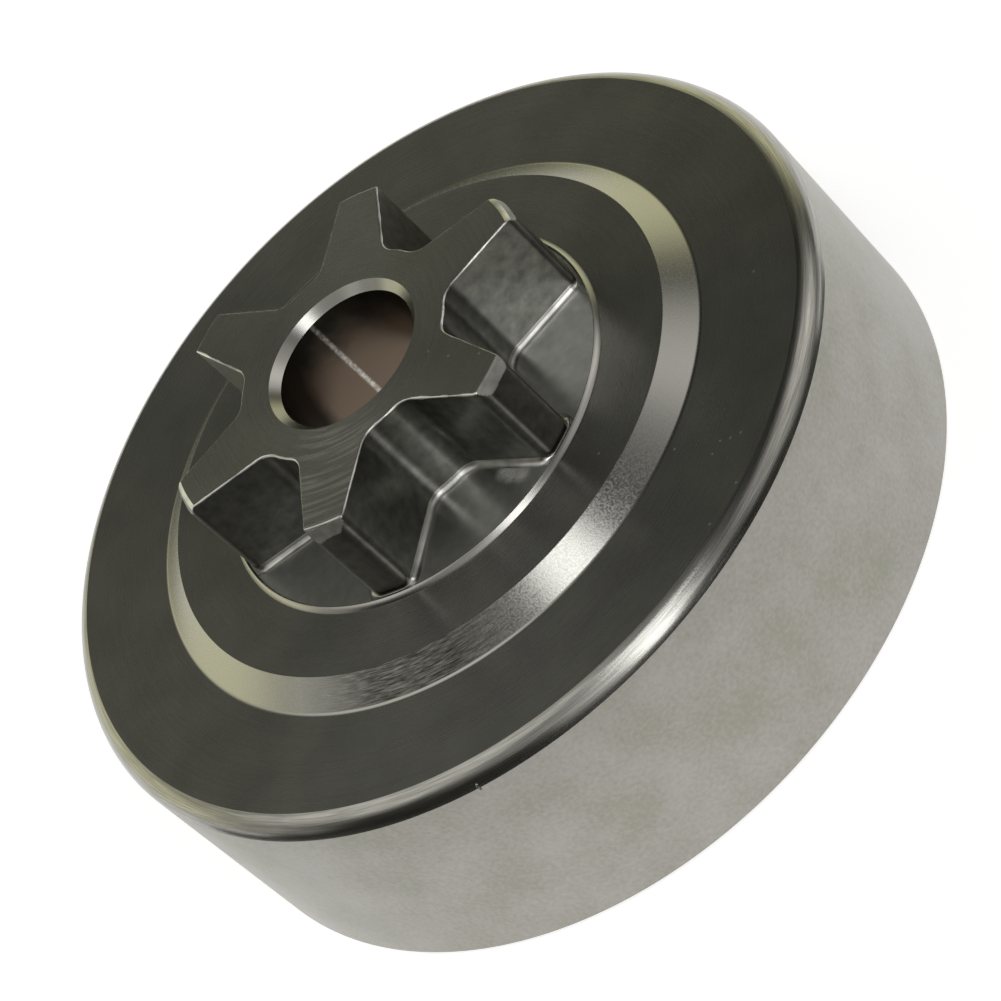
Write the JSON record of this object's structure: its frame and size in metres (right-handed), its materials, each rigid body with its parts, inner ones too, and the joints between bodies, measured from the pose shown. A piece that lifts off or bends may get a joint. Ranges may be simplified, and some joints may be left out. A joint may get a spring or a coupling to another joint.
{
  "type": "clutch drum sprocket",
  "caption": "Open-backed turned steel drum with a spur chain sprocket on its raised face and a through bore; a centrifugal clutch grips it from inside to drive a saw chain.",
  "frame": {"origin": "centre of the open rim's plane, on the axis of the bore", "axes": "+Z along the bore from the open rim to the sprocket, +X through the middle of one tooth"},
  "size_m": [0.068, 0.068, 0.0297],
  "materials": {
    "drum_steel": "satin turned steel, lightly oiled, with a bright cone and rounded edge",
    "sprocket_steel": "satin steel with bright sharp edges"
  },
  "bodies": {
    "root": {"clutch_drum": "drum_steel", "sprocket": "sprocket_steel"}
  },
  "joints": []
}
